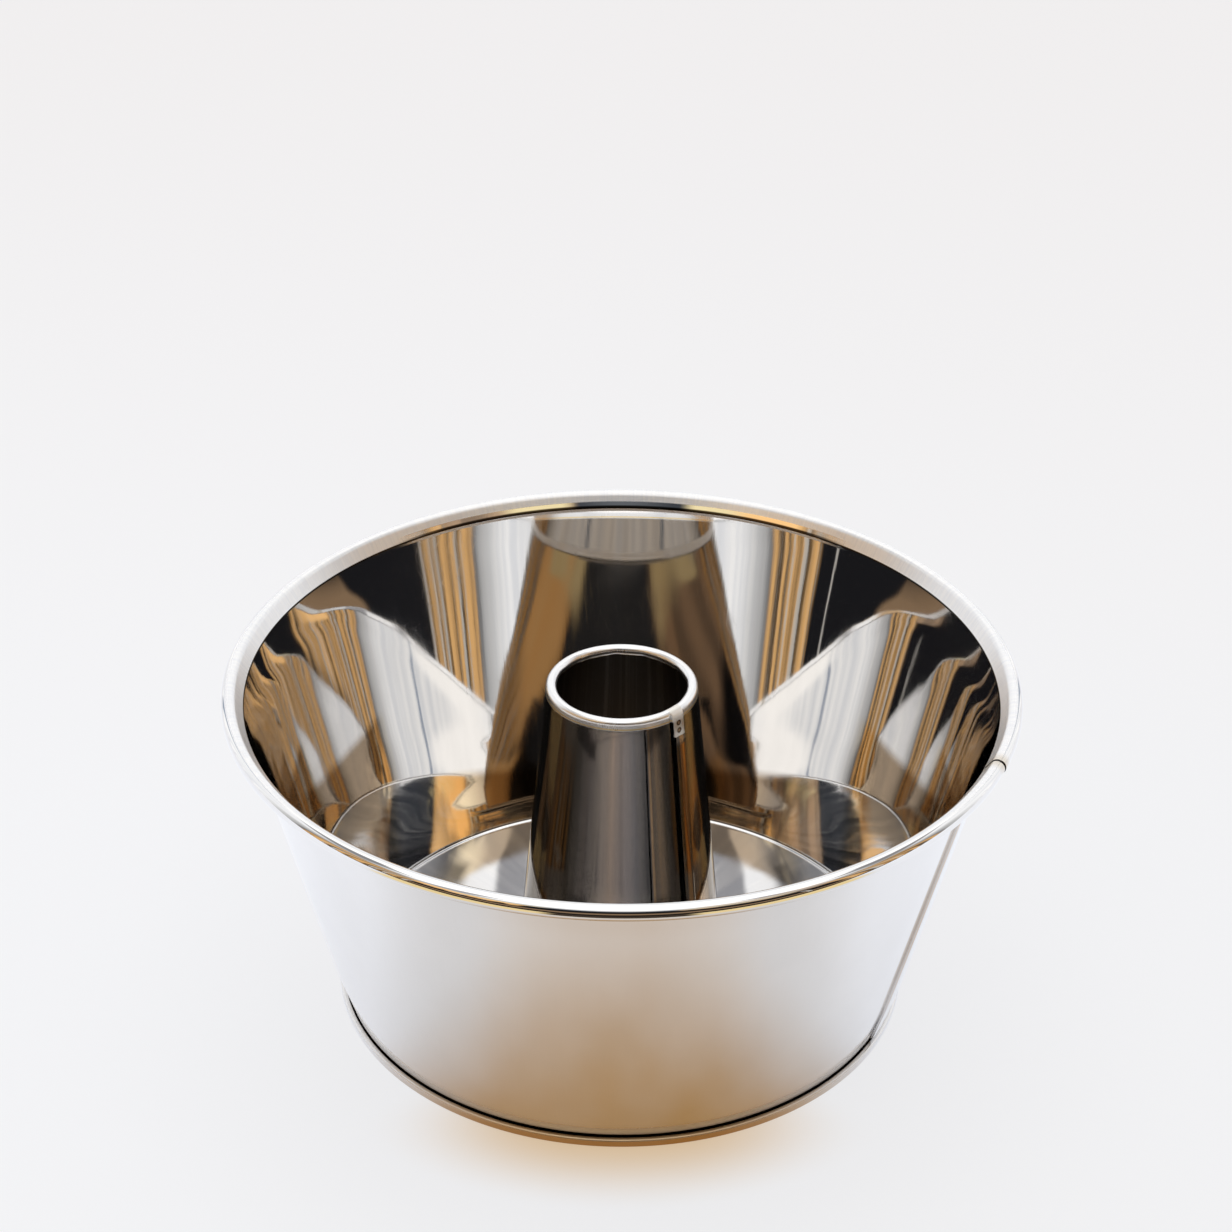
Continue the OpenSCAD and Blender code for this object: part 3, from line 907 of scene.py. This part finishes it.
def mirrored_floor(x, y, r, forward, whole):
    """What the steel mirrors: painted warm light in a cloud in front of the foot, white sides, and two
    strips far off.
    """
    wide = (1 - (r - cloud_from) / cloud_width - (1 - forward) * 1.9).ramp(-0.1, 1.0)
    cloud = x.node("ShaderNodeTexNoise", {"Vector": whole, "Scale": 26.0, "Detail": 2.0})
    sides = mix(forward.ramp(0.35, 0.8), (1.06, 1.10, 1.18), (0.87, 0.88, 0.91))
    sides = mix(forward.ramp(0.78, 0.98), sides, (0.86, 0.81, 0.77))
    # Painted light: the same warm light, as the steel mirrors it, in a soft cloud
    spill = mix(wide * (cloud * 0.5 + 0.72), sides, (0.55, 0.32, 0.115))
    aside = x.math("ABSOLUTE", x) / (0 - y).math("MAXIMUM", 0 - y, 0.01)
    far_off = r.ramp(*strips_from) * y.ramp(*strips_front)
    spill = mix(far_off * aside.ramp(*lamp_aside), spill, lamp_strip)
    return mix(far_off * aside.ramp(*dark_aside), spill, dark_strip)

def floor_material():
    """A plain matt floor that also shines a little, so that it stays pale and keeps the pan's shadow.
    Beyond the edge of the table everything but the camera meets dark."""
    material = bpy.data.materials.new("pale_floor")
    tree = new_tree(material)
    x, y, z, whole = split(tree)
    r = x.math("SQRT", x * x + y * y)
    forward = (0 - y) / r.math("MAXIMUM", r, 0.01)
    seen = source(tree, "ShaderNodeLightPath", "Is Camera Ray")
    mirrored = source(tree, "ShaderNodeLightPath", "Is Glossy Ray")
    colour = mix(seen, mirrored_floor(x, y, r, forward, whole), seen_floor(x, r, forward))
    matt = x.node("ShaderNodeBsdfDiffuse", {"Color": colour})
    shine = x.node("ShaderNodeEmission", {"Color": mix(y.ramp(-0.2, 1.0), colour, backdrop_floor)})
    pale = x.node("ShaderNodeMixShader", {0: seen * 0.78 + mirrored * 0.5, 1: matt, 2: shine})
    dark = x.node("ShaderNodeBsdfDiffuse", {"Color": (0.02, 0.016, 0.012, 1)})
    surface = x.node("ShaderNodeMixShader", {0: (1 - seen) * y.ramp(*table_edge), 1: pale, 2: dark})
    x.node("ShaderNodeOutputMaterial", {"Surface": surface})
    return material

floor_mesh.materials.append(floor_material())
print("finish of the floor:", floor_mesh.materials[0].name)

# %% [markdown]
# ## The room
#
# The room is the world's colour, a function of two angles: the azimuth from the camera's side,
# negative to the left, and the height above the horizon, both in degrees. It could be built of
# walls and lamps, but a function is exact: each patch of it is the mirror image of something seen
# in the steel. Its far half is white with two cool uprights and grey strips high up. Its near
# half, the open end, is dark below about 42 degrees, with amber streaks to the sides and warm
# lamps. The camera sees a plain pale backdrop instead.

# %% Angles and streaks of the room
world = bpy.data.worlds.new("studio")
bpy.context.scene.world = world
world_tree = new_tree(world)
room_x, room_y, room_z, _ = split(world_tree, "Generated")
azimuth = room_x.math("ARCTAN2", room_x, 0 - room_y) * (180 / math.pi)
height = room_x.math("ARCSINE", room_z) * (180 / math.pi)
turned_away = azimuth.math("ABSOLUTE", azimuth)

def patch(left, right, low, high, side=1.5, edge=1.0):
    """A rectangle in the room, by its azimuths and its heights in degrees, with soft edges."""
    return azimuth.between(left, right, side) * height.between(low, high, edge)

def streaks(scale, low, high, seed):
    """Upright streaks: noise that changes with the azimuth only, spread between 0 and 1."""
    noise = azimuth.node("ShaderNodeTexNoise", {"W": azimuth * scale + seed, "Scale": 1.0, "Detail": 3.0},
        noise_dimensions="1D")
    return noise.ramp(low, high)

def laid_over(colour, patches):
    """The colour with each (mask, colour) of the patches laid over it in turn."""
    for mask, over in patches:
        colour = mix(mask, colour, over)
    return colour

# %% White half of the room
grey, bright = (0.42, 0.42, 0.42), (1.30, 1.30, 1.30)
cold = mix(streaks(0.16, 0.35, 0.65, 3.0), (0.90, 0.92, 0.96), (1.12, 1.12, 1.12))
white_half = laid_over(mix(turned_away.ramp(92, 112) * 0.9 + 0.1, grey, cold), [
    (patch(-142, -138.6, 0, 50, 0.5), (0.36, 0.42, 0.52)),
    (patch(144, 147.5, 0, 50, 0.5), (0.40, 0.45, 0.54)),
    (height.ramp(42, 60), bright),
    (turned_away.ramp(128, 150) * height.ramp(41, 46), (1.35, 1.33, 1.30)),
    (height.between(46, 60, 1.5) * turned_away.between(88, 132, 5), (0.28, 0.28, 0.29)),
    (height.between(46, 66, 1.5) * turned_away.between(50, 68, 2), (0.42, 0.42, 0.44)),
    (height.between(39, 44, 1.2) * turned_away.ramp(70, 40), (0.40, 0.42, 0.45)),
    (patch(26, 74, 49.5, 55, 4, 1.5), (0.75, 0.52, 0.30))])
print("nodes of the white half:", len(world_tree.nodes))

# %% Dark half of the room
amber = mix(streaks(0.23, 0.38, 0.58, 7.0), (0.10, 0.065, 0.035), (0.80, 0.47, 0.19))
amber = mix(streaks(0.31, 0.54, 0.62, 21.0) * 0.8, amber, (0.60, 0.58, 0.54))
brown = mix(streaks(0.11, 0.38, 0.62, 11.0), (0.28, 0.20, 0.14), (0.50, 0.34, 0.22))
gold, pale_line = (1.0, 0.84, 0.48), (0.55, 0.52, 0.48)
dark = mix(height.ramp(30, 38), (0.012, 0.012, 0.014), (0.05, 0.055, 0.065))
above_left = (height - (turned_away * 0.14 + 16.5)).ramp(-0.6, 0.6)
dark_half = laid_over(dark, [
    ((height + turned_away * 0.12).ramp(16.0, 14.6), (0.26, 0.17, 0.10)),
    (patch(16, 62, 31, 60, 2), brown),
    (patch(18, 52, 38.2, 60, 3, 0.6), gold),
    (patch(60, 90, 0, 60, 2), amber),
    (azimuth.between(-90, -27, 2) * above_left, amber),
    (patch(-90, -57, 0, 60), amber),
    (patch(-60, -30, 30.5, 60, 2, 2), (1.15, 0.70, 0.30)),
    (patch(-50, -22, 38.2, 60, 3, 0.6), gold),
    (patch(-57.6, -56.4, 0, 25, 0.3), pale_line),
    (patch(48.4, 49.6, 0, 25, 0.3), pale_line)])
print("nodes of both halves:", len(world_tree.nodes))

# %% The world's colour
backdrop = (0.86, 0.845, 0.85)
open_end = turned_away.ramp(95, 88) * height.ramp(42.5, 40.5)
seen_directly = source(world_tree, "ShaderNodeLightPath", "Is Camera Ray")
shown = mix(seen_directly, mix(open_end, white_half, dark_half), backdrop)
sky = shown.node("ShaderNodeBackground", {"Color": shown})
sky.node("ShaderNodeOutputWorld", {"Surface": sky})
print("nodes of the world:", len(world_tree.nodes))

# %% [markdown]
# ## The camera
#
# The camera stands in front of the pan, 788 mm from its axis and 597 mm high, and looks down by
# 30 degrees. Its place, its tilt and its lens were fitted to the rim, the seam and the foot in the
# photograph. The picture is turned by a third of a degree, as the photograph is.

# %% Camera
lens_pixels, picture, sensor_width = 2951.8, 1232, 36.0
tilt, turn_of_picture = 0.5313, 0.006
camera_place = Vector((-1.95, -787.8, 597.0)) * mm
camera_data = bpy.data.cameras.new("camera")
camera_data.sensor_width = sensor_width
camera_data.lens = sensor_width * lens_pixels / picture
camera_data.clip_start, camera_data.clip_end = 0.05, 20
camera = bpy.data.objects.new("camera", camera_data)
bpy.context.scene.collection.objects.link(camera)
level = Matrix.Rotation(math.pi / 2 - tilt, 4, "X") @ Matrix.Rotation(turn_of_picture, 4, "Z")
camera.matrix_world = Matrix.Translation(camera_place) @ level
bpy.context.scene.camera = camera
bpy.context.scene.view_settings.view_transform = "Standard"
# Light goes to and fro between wall and tube many times before it reaches the eye
bpy.context.scene.cycles.glossy_bounces = 10
print(f"lens {camera_data.lens:.1f} mm, tilt {math.degrees(tilt):.1f} degrees")
